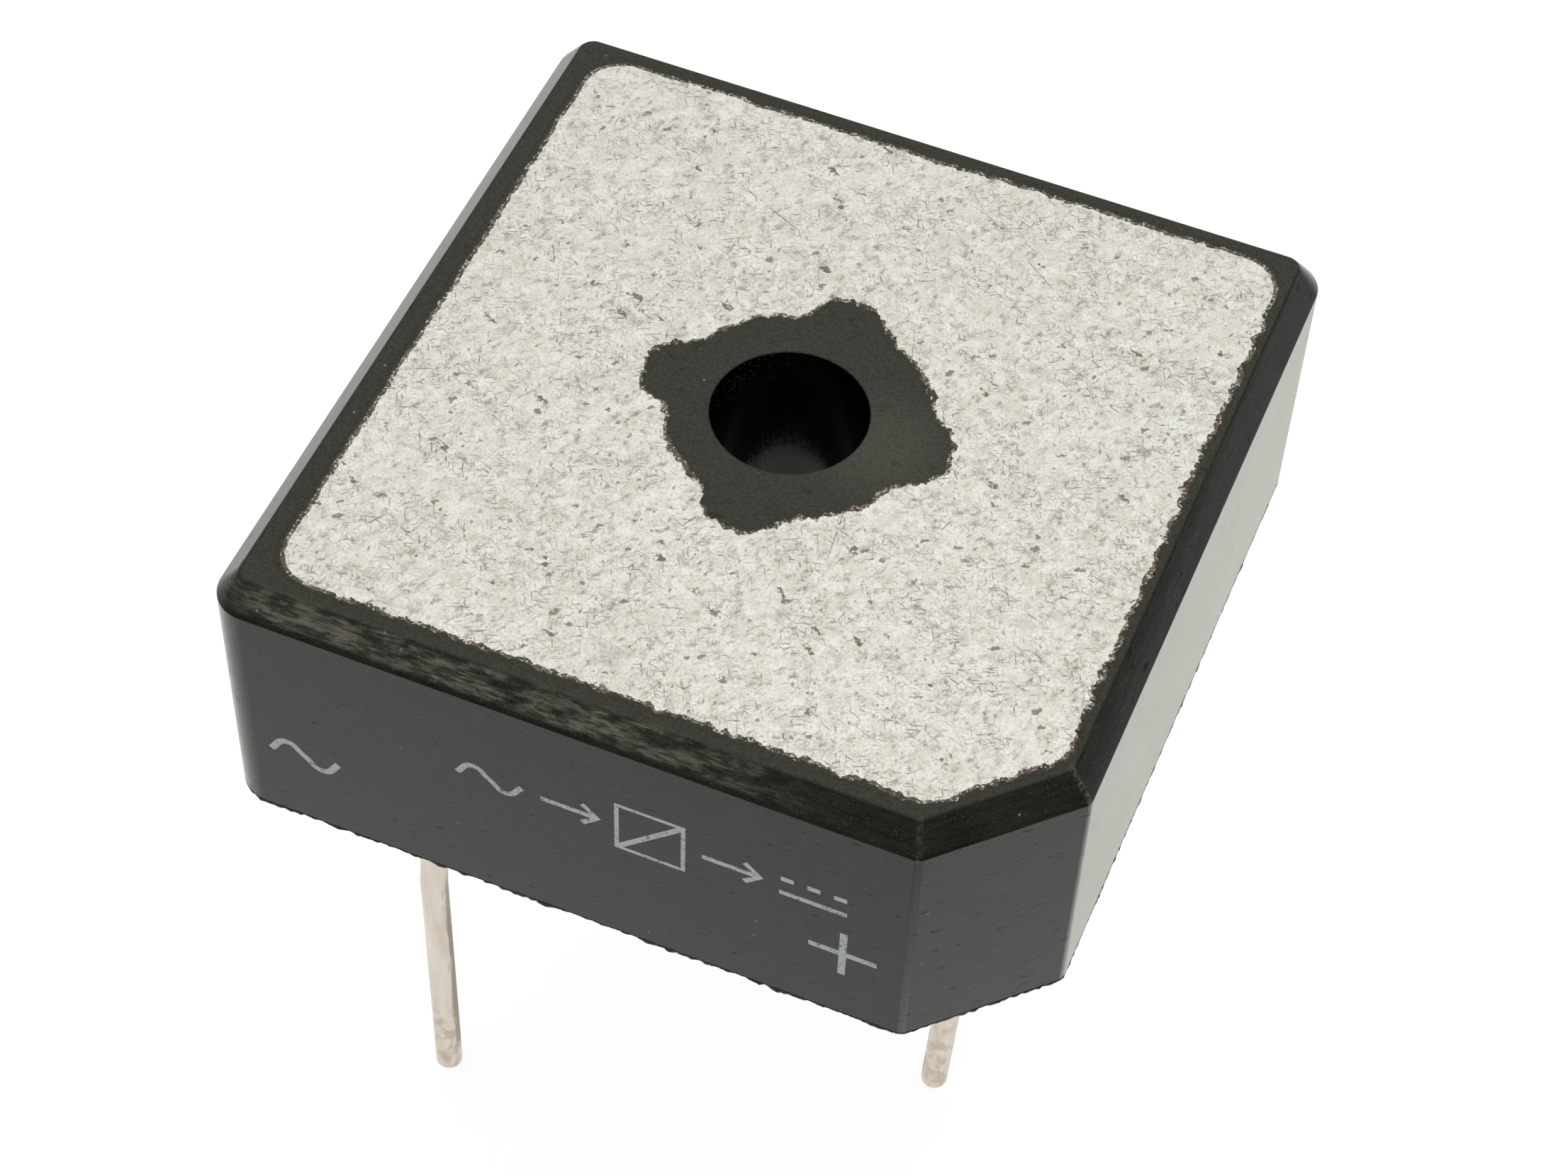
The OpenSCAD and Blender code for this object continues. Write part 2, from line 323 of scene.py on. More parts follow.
def span(tree, value, low, high, lowTo=0.0, highTo=1.0):     # soft step between two values
    node = addNode(tree, "ShaderNodeMapRange", interpolation_type="SMOOTHSTEP")
    tree.links.new(value, node.inputs["Value"])
    for key, number in (("From Min", low), ("From Max", high), ("To Min", lowTo), ("To Max", highTo)):
        node.inputs[key].default_value = number
    return node.outputs[0]


def math2(tree, operation, first, second, clamp=False):
    node = addNode(tree, "ShaderNodeMath", operation=operation, use_clamp=clamp)
    for socket, value in zip(node.inputs, (first, second)):
        if isinstance(value, (int, float)):
            socket.default_value = value
        else:
            tree.links.new(value, socket)
    return node.outputs[0]


def chain(tree, operation, values):
    result = values[0]
    for value in values[1:]:
        result = math2(tree, operation, result, value)
    return result


def times(tree, *values):
    return chain(tree, "MULTIPLY", values)


def plus(tree, *values):
    return chain(tree, "ADD", values)


def largest(tree, *values):
    return chain(tree, "MAXIMUM", values)


def vectorMath(tree, operation, first, second=None, **settings):
    node = addNode(tree, "ShaderNodeVectorMath", operation=operation, **settings)
    tree.links.new(first, node.inputs[0])
    if isinstance(second, (tuple, Vector)):
        node.inputs[1].default_value = second
    elif second is not None:
        tree.links.new(second, node.inputs[1])
    return node.outputs["Value" if operation in ("LENGTH", "DOT_PRODUCT") else "Vector"]


def tint(tree, amount, below, above):                        # below shows at 0, above at 1
    node = addNode(tree, "ShaderNodeMix", data_type="RGBA")
    factor, first, second = node.inputs[0], node.inputs[6], node.inputs[7]
    for socket, value in ((factor, amount), (first, below), (second, above)):
        if isinstance(value, tuple):
            socket.default_value = (*value, 1)
        elif isinstance(value, (int, float)):
            socket.default_value = value
        else:
            tree.links.new(value, socket)
    return node.outputs[2]


def axisValues(tree, *placing):                              # x, y and z, in millimetres unless placed
    parts = addNode(tree, "ShaderNodeSeparateXYZ")
    tree.links.new(place(tree, *placing), parts.inputs[0])
    return parts.outputs[0], parts.outputs[1], parts.outputs[2]


def relief(tree, shader, height, strength, depth):          # depth in millimetres
    bump = addNode(tree, "ShaderNodeBump", Strength=strength, Distance=depth * mm)
    tree.links.new(height, bump.inputs["Height"])
    tree.links.new(bump.outputs[0], shader.inputs["Normal"])


def nearLine(tree, start, end, width):                       # 1 on a line, 0 from width away
    along = (Vector(end) - Vector(start)).normalized()
    away = vectorMath(tree, "SUBTRACT", place(tree), start)
    distance = vectorMath(tree, "LENGTH", vectorMath(tree, "CROSS_PRODUCT", away, along))
    return span(tree, distance, width * 0.35, width, 1, 0)


# epoxy of the moulding

epoxySet = {
    "deep": (0.0010, 0.0012, 0.0004),
    "pale": (0.0220, 0.0226, 0.0150),
    "wallRough": 0.34,
    "topRough": 0.52,
    "ior": 1.20,
    "coatIor": 1.20,                         # a second, thin glossy skin that shows at low angles
    "coatRough": 0.25,
    "sheen": 0.9,
    "sheenRough": 0.24,
    "gloss": (1.0, 1.0, 0.82),               # its gloss is a little green
    "litTopDark": (0.014, 0.0142, 0.0085),      # painted light: the top is paler than the moulded walls, for how it is lit
    "litTopPale": (0.076, 0.078, 0.058),
    "paintedLightAt": (3.4, -0.2),                   # middle of a painted pool of light on the top, and its size
    "paintedLightSize": 2.6,
    "wear": (0.210, 0.204, 0.166),           # rubbed streaks and crumbs on the bevels
    "wearStarts": (-13.8, -11.5),            # along x on the front bevel
    "wearFades": (0.5, 8.5),
    # colours of the painted highlights along the chamfer bevel's mitres
    "mitreHighlightRight": (0.24, 0.235, 0.21),
    "mitreHighlightLeft": (0.22, 0.21, 0.18),
    "dust": (0.40, 0.38, 0.33),
    "dustApart": 0.62,
    "dustRare": 0.80,                        # share of the cells that have none
    "patterns": {                            # sizes along x, y and z, detail, roughness, shift
        "grain": (even(0.07), 4, 0.65),
        "cloud": ((2.6, 2.6, 1.6), 4, 0.6),
        "brushed": ((1.3, 1.3, 0.10), 4, 0.7),
        "dent": ((0.55, 0.55, 0.16), 2, 0.5, (5, 5, 1)),
        "sand": (even(0.12), 3, 0.7, (2, 6, 0)),
        "streak": ((0.75, 0.5, 0.09), 5, 0.75),
        "patch": ((1.1, 1.0, 0.45), 4, 0.65),
        "crumb": (even(0.07), 2, 0.6, (9, 4, 2)),
        "patchy": ((0.14, 0.14, 0.16), 4, 0.7),
    },
}


def makeEpoxy():
    material, tree, shader = startMaterial(
        "epoxy", IOR=epoxySet["ior"], Sheen_Weight=epoxySet["sheen"], Sheen_Roughness=epoxySet["sheenRough"],
        Coat_Weight=1.0, Coat_IOR=epoxySet["coatIor"], Coat_Roughness=epoxySet["coatRough"],
        Sheen_Tint=epoxySet["gloss"], Specular_Tint=epoxySet["gloss"])
    part = patterns(tree, epoxySet["patterns"])
    x, y, z = axisValues(tree)
    foot, top, wall, leg = footLevel, topLevel, halfWidth, chamferLeg
    # moulded grain, and finer along the walls
    tone = plus(tree, times(tree, part["grain"], 0.50), times(tree, part["cloud"], 0.25))
    tone = math2(tree, "ADD", tone, times(tree, part["brushed"], 0.45), clamp=True)
    color = tint(tree, span(tree, tone, 0.47, 0.73), epoxySet["deep"], epoxySet["pale"])
    # here and there a short dent, its colour darkened as painted shade in it
    dent = span(tree, part["dent"], 0.63, 0.79)
    color = tint(tree, times(tree, dent, 0.9), color, (0.0, 0.0, 0.0))
    # painted light: the top is paler than the walls, with a painted pool of light on the chamfer's side of
    # the bore, over a sandy grain
    onTop = span(tree, z, top - 0.05, top - 0.01)
    paintedLightSize = epoxySet["paintedLightSize"]
    # painted pool of light, palest at its middle
    glow = vectorMath(tree, "LENGTH", place(tree, (paintedLightSize, paintedLightSize, 40), shift=(*epoxySet["paintedLightAt"], top)))
    topTone = plus(tree, span(tree, part["sand"], 0.34, 0.66, 0.12, 0.50),
                   times(tree, span(tree, glow, 0.1, 1.3, 1, 0), 0.40))
    color = tint(tree, onTop, color, tint(tree, topTone, epoxySet["litTopDark"], epoxySet["litTopPale"]))
    # worn streaks on the front bevel, strong at its left and fading to the right
    onBevel = times(tree, span(tree, z, foot + 0.10, foot + 0.28),
                    span(tree, y, -wall + 0.75, -wall + 0.95, 1, 0),
                    span(tree, z, top - 0.10, top - 0.02, 1, 0.35))
    fading = times(tree, span(tree, x, *epoxySet["wearFades"], 1.0, 0.03),
                   span(tree, x, *epoxySet["wearStarts"], 0.35, 1.0))
    worn = times(tree, onBevel, fading, span(tree, part["streak"], 0.38, 0.62, 0.14, 1.0),
                 span(tree, part["patch"], 0.36, 0.60, 0.15, 1.0))
    color = tint(tree, times(tree, worn, 0.9), color, epoxySet["wear"])
    # fine pale crumbs on the bevels
    crumb = span(tree, part["crumb"], 0.62, 0.76)
    atBevel = times(tree, span(tree, z, foot + 0.02, foot + 0.12),
                    span(tree, z, top - 0.10, top - 0.02, 1, 0))
    color = tint(tree, times(tree, crumb, atBevel, 0.5), color, epoxySet["wear"])
    # painted highlights along the mitres at both ends of the chamfer's bevel, broken up by a patchy noise
    slip = bevelInset * math.tan(math.radians(22.5))
    patchy = span(tree, part["patchy"], 0.40, 0.62)
    rightMitreHighlight = nearLine(tree, (wall, -wall + leg, foot),
                          (wall - bevelInset, -wall + leg + slip, top), 0.16)
    leftMitreHighlight = nearLine(tree, (wall - leg, -wall, foot),
                         (wall - leg - slip, -wall + bevelInset, top), 0.15)
    color = tint(tree, times(tree, rightMitreHighlight, patchy, 0.42), color, epoxySet["mitreHighlightRight"])
    color = tint(tree, times(tree, leftMitreHighlight, patchy, 0.20), color, epoxySet["mitreHighlightLeft"])
    # dust: few pale specks, each cell with its own chance and size
    distance, luck, _ = cells(tree, place(tree, even(epoxySet["dustApart"])))
    size = span(tree, luck, epoxySet["dustRare"], 1.0, 0.02, 0.085)
    speck = times(tree, math2(tree, "LESS_THAN", distance, size),
                  math2(tree, "GREATER_THAN", luck, epoxySet["dustRare"]))
    color = tint(tree, times(tree, speck, 0.45), color, epoxySet["dust"])
    tree.links.new(color, shader.inputs["Base Color"])
    topMore = epoxySet["topRough"] - epoxySet["wallRough"]
    rough = plus(tree, times(tree, onTop, topMore), epoxySet["wallRough"], times(tree, worn, 0.2),
                 span(tree, part["cloud"], 0.3, 0.7, -0.03, 0.03), times(tree, dent, 0.40),
                 times(tree, atBevel, 0.14))
    tree.links.new(rough, shader.inputs["Roughness"])
    # the skin is thinner in the dents and in the coarse of the grain
    skin = times(tree, span(tree, dent, 0, 1, 1.0, 0.55), span(tree, part["grain"], 0.50, 0.68, 1.0, 0.72))
    tree.links.new(skin, shader.inputs["Coat Weight"])
    height = plus(tree, times(tree, part["grain"], 0.5), times(tree, part["brushed"], 0.5))
    height = math2(tree, "SUBTRACT", height, times(tree, dent, 0.5))
    relief(tree, shader, height, 0.65, 0.04)
    return material


# the drawn wall of the bore is smoother, and its colour is darker as painted shade down in the hole

boreSet = {
    # painted shade: darker than the moulded walls, for the shade in the bore
    "dark": (0.0012, 0.0012, 0.0008),
    "rough": 0.12,
    "ior": 1.27,
    "dust": (0.25, 0.23, 0.14),              # on the side away from the chamfer, most near the top
    "dustApart": 0.12,
    "dustRare": 0.35,
    "patterns": {
        "grain": ((0.09, 0.09, 0.3), 4, 0.6),
        "tone": ((1.5, 1.5, 2.5), 3),
    },
}


def makeBoreEpoxy():
    material, tree, shader = startMaterial("boreEpoxy", IOR=boreSet["ior"], Specular_Tint=epoxySet["gloss"])
    part = patterns(tree, boreSet["patterns"])
    x, y, z = axisValues(tree)
    # painted shade in the bore: a tone between its darker colour and the walls' deepest
    color = tint(tree, span(tree, part["tone"], 0.3, 0.7), boreSet["dark"], epoxySet["deep"])
    distance, luck, _ = cells(tree, place(tree, even(boreSet["dustApart"])))
    drift = times(tree, span(tree, x, -2.4, 0.8, 1, 0), span(tree, z, topLevel - 2.2, topLevel - 0.1))
    speck = times(tree, span(tree, distance, 0.12, 0.34, 1, 0),
                  math2(tree, "GREATER_THAN", luck, boreSet["dustRare"]), drift)
    color = tint(tree, times(tree, speck, 0.55), color, boreSet["dust"])
    tree.links.new(color, shader.inputs["Base Color"])
    rough = span(tree, part["grain"], 0.3, 0.7, boreSet["rough"] - 0.04, boreSet["rough"] + 0.06)
    tree.links.new(rough, shader.inputs["Roughness"])
    relief(tree, shader, part["grain"], 0.25, 0.02)
    return material


# bare aluminium of the base plate

plateSet = {
    "light": (0.87, 0.862, 0.790),
    "dull": (0.72, 0.706, 0.628),
    "grey": (0.47, 0.452, 0.395),
    "fleck": (0.115, 0.098, 0.064),
    # colour of the painted glints
    "bright": (0.95, 0.94, 0.90),
    "metallic": 0.75,
    "rough": 0.50,
    "patterns": {
        "mottle": (even(0.55), 5, 0.72),
        "broad": (even(4.5), 3, 0.55),
        "grain": (even(0.10), 3, 0.65),
        "drift": (even(1.6), 3, 0.6, (3, 1, 0)),
        "hair": (even(2.2), 2, 0.45, (4, 9, 0)),
        "clot": ((0.42, 0.28, 0.3), 5, 0.72, (6, 2, 0), 62),
        "paintedGlint": (even(0.07), 1, 0.5, (7, 3, 0)),
        "ripple": (even(0.42), 5, 0.75),
        "patchy": (even(0.6), 2, 0.5, (1, 5, 0)),
    },
    "flecks": (                              # direction, length and width in mm, how rare
        (24, 0.44, 0.080, 0.58), (118, 0.38, 0.075, 0.59),
        (160, 0.60, 0.060, 0.60), (75, 0.34, 0.070, 0.61),
    ),
    "spots": (                               # direction, spacing along and across, chance, size and darkness
        (35, 0.75, 0.52, 0.50, 0.22, 0.80), (150, 1.25, 0.75, 0.55, 0.19, 0.95),
        (95, 0.40, 0.30, 0.52, 0.22, 0.62),
    ),
    "scratches": (                           # start and end on the plate, width
        ((-6.9, 9.6), (-2.4, 7.5), 0.035), ((-1.6, -6.4), (-0.9, -5.0), 0.04),
        ((-10.6, -9.9), (-9.7, -8.4), 0.035), ((3.0, -1.4), (3.5, -5.6), 0.025),
        ((4.4, 9.9), (6.8, 8.2), 0.03),
    ),
    "smear": ((-1.3, -11.6), (1.0, 0.75), 20),   # place, sizes and direction
}


def strayPlace(tree, sizes, turn, shift, amount):            # as place, but pushed about for uneven outlines
    wander = addNode(tree, "ShaderNodeTexNoise", Scale=1.0, Detail=2.0)
    tree.links.new(place(tree, even(0.22), 0, shift), wander.inputs["Vector"])
    centred = vectorMath(tree, "SUBTRACT", wander.outputs["Color"], (0.5, 0.5, 0.5))
    scaled = vectorMath(tree, "SCALE", centred, Scale=amount)
    return vectorMath(tree, "ADD", place(tree, sizes, turn, shift), scaled)


def spots(tree, turn, long, wide, chance, biggest):          # uneven dark spots, one cell in a few has one
    shift = (turn * 0.05, turn * 0.13, 0)
    distance, _, luck = cells(tree, strayPlace(tree, (long, wide, wide), turn, shift, 0.75))
    size = span(tree, luck, chance, 1.0, 0.02, biggest)
    inside = span(tree, math2(tree, "SUBTRACT", size, distance), -0.03, 0.06)
    return times(tree, inside, math2(tree, "GREATER_THAN", luck, chance))


def scratch(tree, start, end, width):
    (startX, startY), (endX, endY) = start, end
    middle = ((startX + endX) / 2, (startY + endY) / 2, topLevel)
    length = math.hypot(endX - startX, endY - startY)
    turn = math.degrees(math.atan2(endY - startY, endX - startX))
    x, y, z = axisValues(tree, (length / 2, width, 1), turn, middle)
    along = math2(tree, "ABSOLUTE", x, 0)
    across = math2(tree, "ABSOLUTE", y, 0)
    return times(tree, span(tree, along, 0.7, 1.0, 1, 0), span(tree, across, 0.5, 1.2, 1, 0))


def makeAluminium():
    material, tree, shader = startMaterial("bareAluminium", Metallic=plateSet["metallic"])
    part = patterns(tree, plateSet["patterns"])
    tone = plus(tree, times(tree, part["mottle"], 0.92), times(tree, part["broad"], 0.08))
    color = tint(tree, span(tree, tone, 0.36, 0.66), plateSet["light"], plateSet["dull"])
    color = tint(tree, span(tree, part["grain"], 0.42, 0.70, 0.0, 0.42), color, plateSet["grey"])
    # short flecks and fine hairs rolled into the surface, in loose drifts
    lines = []
    for turn, long, wide, rarity in plateSet["flecks"]:
        line = noise(tree, (long, wide, 1.0), 2, 0.55, (turn * 0.11, turn * 0.07, 0), turn)
        lines.append(times(tree, span(tree, line, rarity, rarity + 0.13), 0.76))
    hair = math2(tree, "ABSOLUTE", math2(tree, "SUBTRACT", part["hair"], 0.5), 0)
    hair = span(tree, hair, 0.002, 0.007, 0.20, 0.0)
    drift = span(tree, part["drift"], 0.36, 0.62, 0.15, 1.0)
    dark = times(tree, largest(tree, *lines, hair), drift)
    # single dark spots and clots
    for *spot, depth in plateSet["spots"]:
        dark = largest(tree, dark, times(tree, spots(tree, *spot), depth))
    dark = largest(tree, dark, times(tree, span(tree, part["clot"], 0.50, 0.74), 0.72))
    color = tint(tree, times(tree, dark, 0.80), color, plateSet["fleck"])
    # painted glints: bright specks
    paintedGlint = span(tree, part["paintedGlint"], 0.64, 0.76)
    color = tint(tree, times(tree, paintedGlint, 0.5), color, plateSet["bright"])
    # one grey smear near the front edge
    at, sizes, turn = plateSet["smear"]
    smear = vectorMath(tree, "LENGTH", place(tree, (*sizes, 50), turn, (*at, topLevel)))
    blot = span(tree, plus(tree, smear, times(tree, part["ripple"], 2.6)), 1.35, 2.35, 1, 0)
    color = tint(tree, times(tree, blot, 0.55), color, plateSet["grey"])
    # a few long scratches
    patchy = span(tree, part["patchy"], 0.38, 0.55)
    for start, end, width in plateSet["scratches"]:
        mark = times(tree, scratch(tree, start, end, width), patchy, 0.5)
        color = tint(tree, mark, color, plateSet["fleck"])
    tree.links.new(color, shader.inputs["Base Color"])
    rough = plus(tree, times(tree, part["grain"], 0.12), plateSet["rough"] - 0.06, times(tree, dark, 0.2))
    tree.links.new(rough, shader.inputs["Roughness"])
    height = plus(tree, times(tree, part["grain"], 0.5), times(tree, part["mottle"], 0.5))
    relief(tree, shader, math2(tree, "SUBTRACT", height, times(tree, dark, 0.4)), 0.45, 0.03)
    return material


# the other finishes

tinSet = {
    "bright": (0.765, 0.70, 0.60),
    "soft": (0.66, 0.59, 0.49),
    "tarnish": (0.20, 0.145, 0.105),
    "patch": (0.42, 0.30, 0.21),
    "metallic": 0.9,
    "rough": 0.30,
    "patterns": {
        "cloud": ((0.6, 0.6, 3.0), 2, 0.5),
        "ragged": ((0.35, 0.35, 2.2), 4, 0.6),
        "patch": ((0.4, 0.4, 0.6), 3, 0.6, (1, 2, 3)),
        "drawn": ((0.15, 0.15, 1.8), 3),
    },
}


def makeTin(name, side, low, high, patchTop):   # tarnish on one side between two heights, patch at the tip
    material, tree, shader = startMaterial(name, Metallic=tinSet["metallic"])
    part = patterns(tree, tinSet["patterns"])
    x, y, z = axisValues(tree)
    color = tint(tree, span(tree, part["cloud"], 0.25, 0.75), tinSet["bright"], tinSet["soft"])
    coords = addNode(tree, "ShaderNodeTexCoord")
    facing = vectorMath(tree, "DOT_PRODUCT", coords.outputs["Normal"], side)
    stain = times(tree, span(tree, plus(tree, facing, part["ragged"]), 1.05, 1.35),
                  span(tree, z, low - 0.5, low + 0.8), span(tree, z, high - 1.5, high + 0.5, 1, 0))
    color = tint(tree, times(tree, stain, 0.65), color, tinSet["tarnish"])
    atTip = times(tree, span(tree, z, patchTop - 2.0, patchTop, 1, 0), span(tree, part["patch"], 0.44, 0.60))
    color = tint(tree, times(tree, atTip, 0.5), color, tinSet["patch"])
    normal = addNode(tree, "ShaderNodeSeparateXYZ")
    tree.links.new(coords.outputs["Normal"], normal.inputs[0])
    cutFace = span(tree, normal.outputs[2], -0.75, -0.35, 1, 0)
    color = tint(tree, times(tree, cutFace, 0.65), color, tinSet["tarnish"])
    tree.links.new(color, shader.inputs["Base Color"])
    rough = plus(tree, times(tree, stain, 0.2), times(tree, part["cloud"], 0.12), tinSet["rough"] - 0.06)
    tree.links.new(rough, shader.inputs["Roughness"])
    relief(tree, shader, part["drawn"], 0.3, 0.02)
    return material


resinSet = {                                 # thin resin that lets grains of metal through
    "dark": (0.045, 0.034, 0.021),
    "pale": (0.16, 0.115, 0.072),
    "metal": (0.62, 0.59, 0.53),
    "patterns": {"grain": (even(0.09), 2, 0.6), "tone": (even(0.4), 3)},
}


def makeBrownResin():
    material, tree, shader = startMaterial("brownResin", Roughness=0.5, IOR=1.4)
    part = patterns(tree, resinSet["patterns"])
    color = tint(tree, span(tree, part["tone"], 0.35, 0.65), resinSet["dark"], resinSet["pale"])
    color = tint(tree, span(tree, part["grain"], 0.54, 0.62), color, resinSet["metal"])
    tree.links.new(color, shader.inputs["Base Color"])
    relief(tree, shader, part["grain"], 0.4, 0.03)
    return material


inkSet = {                                   # pad-printed pale grey ink, rubbed thin in places
    "full": (0.62, 0.66, 0.63),
    "thin": (0.15, 0.16, 0.16),
    "patterns": {"worn": (even(0.16), 4, 0.7), "thin": (even(1.1), 2)},
}


def makeInk():
    material, tree, shader = startMaterial("paleInk", Roughness=0.6, IOR=1.4)
    part = patterns(tree, inkSet["patterns"])
    rubbed = plus(tree, part["worn"], times(tree, part["thin"], 0.35))
    color = tint(tree, span(tree, rubbed, 0.66, 0.88), inkSet["full"], inkSet["thin"])
    tree.links.new(color, shader.inputs["Base Color"])
    relief(tree, shader, part["worn"], 0.3, 0.02)
    return material


metalSet = {                                 # light and dull colour, roughness, sizes of the clouds
    "copper": ((0.80, 0.47, 0.33), (0.66, 0.36, 0.25), 0.32, (1.6, 1.6, 0.3)),
    "silicon": ((0.24, 0.25, 0.28), (0.20, 0.205, 0.23), 0.16, even(1.2)),
    "solder": ((0.66, 0.67, 0.68), (0.55, 0.555, 0.56), 0.34, even(0.5)),
}


def makeMetal(name):                         # stamped, cast or soldered metal inside the moulding
    light, dull, rough, sizes = metalSet[name]
    material, tree, shader = startMaterial(name, Metallic=1.0)
    tone = noise(tree, sizes, 4, 0.6)
    fine = noise(tree, even(0.12), 3)
    tree.links.new(tint(tree, span(tree, tone, 0.35, 0.65), light, dull), shader.inputs["Base Color"])
    tree.links.new(span(tree, fine, 0.3, 0.7, rough - 0.06, rough + 0.08), shader.inputs["Roughness"])
    relief(tree, shader, fine, 0.3, 0.02)
    return material


leadTones = {                                # side of the tarnish, its low and high end, top of the patch
    "ac_lead_front": ((0.92, 0.38, 0.0), 1.2, 13.5, 5.5),
    "plus_lead": ((-0.95, 0.30, 0.0), 0.4, 16.0, 6.0),
    "minus_lead": ((0.6, -0.8, 0.0), 2.0, 12.0, 4.0),
    "ac_lead_back": ((0.3, 0.95, 0.0), 1.0, 15.0, 5.0),
}

epoxy = makeEpoxy()
boreEpoxy = makeBoreEpoxy()
aluminium = makeAluminium()
brownResin = makeBrownResin()
ink = makeInk()
copper, silicon, solder = (makeMetal(name) for name in metalSet)
print("materials ready")

# shared steps of the pieces

outlineBand = {"wall": 0.45, "chamfer": 0.5, "bevel": 0.85, "corner": 1.05, "chamferBevel": 1.3}


def onOutline(point):                        # on the outer outline at any level
    return (max(abs(point.x), abs(point.y)) > halfWidth - outlineBand["wall"]
            or point.x - point.y > chamferLine - outlineBand["chamfer"])


def onTopOutline(point):                     # on the upper end of the bevel
    across, along = sorted((abs(point.x), abs(point.y)))
    return (along > halfWidth - outlineBand["bevel"] or across > halfWidth - outlineBand["corner"]
            or point.x - point.y > chamferLine - outlineBand["chamferBevel"])


def finishWith(piece, material):
    piece.data.materials.clear()
    piece.data.materials.append(material)


def shake(piece, group, name, size, strength, axes="XY"):    # moves a vertex group about by a noise
    for axis in axes:
        texture = bpy.data.textures.new(name + axis, "CLOUDS")
        texture.noise_scale = size * mm
        texture.noise_depth = 2
        texture.noise_basis = "IMPROVED_PERLIN" if axis == "X" else "ORIGINAL_PERLIN"
        modifier = piece.modifiers.new(name + axis, "DISPLACE")
        modifier.texture = texture
        modifier.texture_coords = "LOCAL"
        modifier.direction = axis
        modifier.strength = strength * mm
        modifier.mid_level = 0.5
        modifier.vertex_group = group


def shortSteps(piece, step, along):          # halves the edges that pass the test until they are short
    def tooLong(edge):
        first, second = edgeEnds(piece, edge)
        return (first - second).length > step and along(edge)
    while pick(piece, "EDGE", tooLong):
        bpy.ops.mesh.subdivide(number_cuts=1)
    objectMode()


def groupWeight(piece, index, group):
    return sum(entry.weight for entry in piece.data.vertices[index].groups if entry.group == group.index)


# burr of resin round the rim on the lead side

burrSet = {                                  # millimetres
    "wall": 0.11,
    "drop": 0.07,
    "step": 0.16,
    "scallop": (1.3, 0.26),                  # size and strength of its waves
    "crumb": (0.3, 0.16),
    "lift": 0.09,                            # its root sits in the moulding's soft edge
}


def makeBurr():
    piece = copyNode("body", "rimBurr")
    pick(piece, "FACE", lambda f: f.normal.z < -0.9 and f.center.z / mm < lowLevel + 0.05)
    bpy.ops.mesh.select_all(action="INVERT")
    bpy.ops.mesh.delete(type="FACE")
    pick(piece, "FACE", lambda f: True)
    bpy.ops.mesh.inset(thickness=burrSet["wall"] * mm, use_boundary=True)
    bpy.ops.mesh.delete(type="FACE")
    pick(piece, "VERT", lambda v: not onOutline(v.co / mm))
    bpy.ops.mesh.delete(type="VERT")
    objectMode()

    def spot(vertex):
        return round(vertex.co.x / mm, 2), round(vertex.co.y / mm, 2)

    bodyCorners = {spot(vertex) for vertex in nodes["body"].data.vertices}
    outer = piece.vertex_groups.new(name="outer")
    for vertex in piece.data.vertices:
        if spot(vertex) in bodyCorners:
            outer.add([vertex.index], 1.0, "REPLACE")

    def alongRim(edge):                      # both ends on the outline, or both off it
        first, second = edge.vertices
        return abs(groupWeight(piece, first, outer) - groupWeight(piece, second, outer)) < 0.5

    shortSteps(piece, burrSet["step"], alongRim)
    pick(piece, "FACE", lambda f: True)
    bpy.ops.mesh.extrude_region_move(TRANSFORM_OT_translate={"value": (0, 0, -burrSet["drop"] * mm)})
    objectMode()
    ragged = piece.vertex_groups.new(name="ragged")
    for vertex in piece.data.vertices:
        if vertex.co.z / mm < lowLevel - burrSet["drop"] / 2:
            ragged.add([vertex.index], 1.0, "REPLACE")
    shake(piece, "ragged", "scallop", *burrSet["scallop"], axes="Z")
    shake(piece, "ragged", "crumb", *burrSet["crumb"], axes="XYZ")
    applyAll(piece)
    openEdit(piece)
    bpy.ops.mesh.select_all(action="SELECT")
    bpy.ops.transform.translate(value=(0, 0, burrSet["lift"] * mm))
    objectMode()
    finishWith(piece, epoxy)
    settle(piece, "moulding")


makeBurr()
print("burr ready")

# moulding

mouldingSet = {                              # millimetres
    "footRound": 0.16,                       # where the bevel meets the walls
    "topRound": 0.09,
    "rimRound": 0.20,
    "boreRound": 0.07,
    "smoothAngle": 32,                       # degrees
}


def atLevel(point, level):
    return abs(point.z - level) < 0.01


def insideBore(point, slack):
    return math.hypot(point.x, point.y) < boreRadius + slack


def bevelWhere(piece, test, width, segments=3):
    if pick(piece, "EDGE", lambda edge: all(test(p) for p in edgeEnds(piece, edge))):
        bpy.ops.mesh.bevel(offset=width * mm, segments=segments, affect="EDGES", clamp_overlap=True)
    objectMode()


def softNormals(piece, angle):
    choose(piece)
    bpy.ops.object.shade_smooth_by_angle(angle=math.radians(angle))
    modifier = piece.modifiers.new("evenShade", "WEIGHTED_NORMAL")
    modifier.keep_sharp = True
    applyAll(piece)


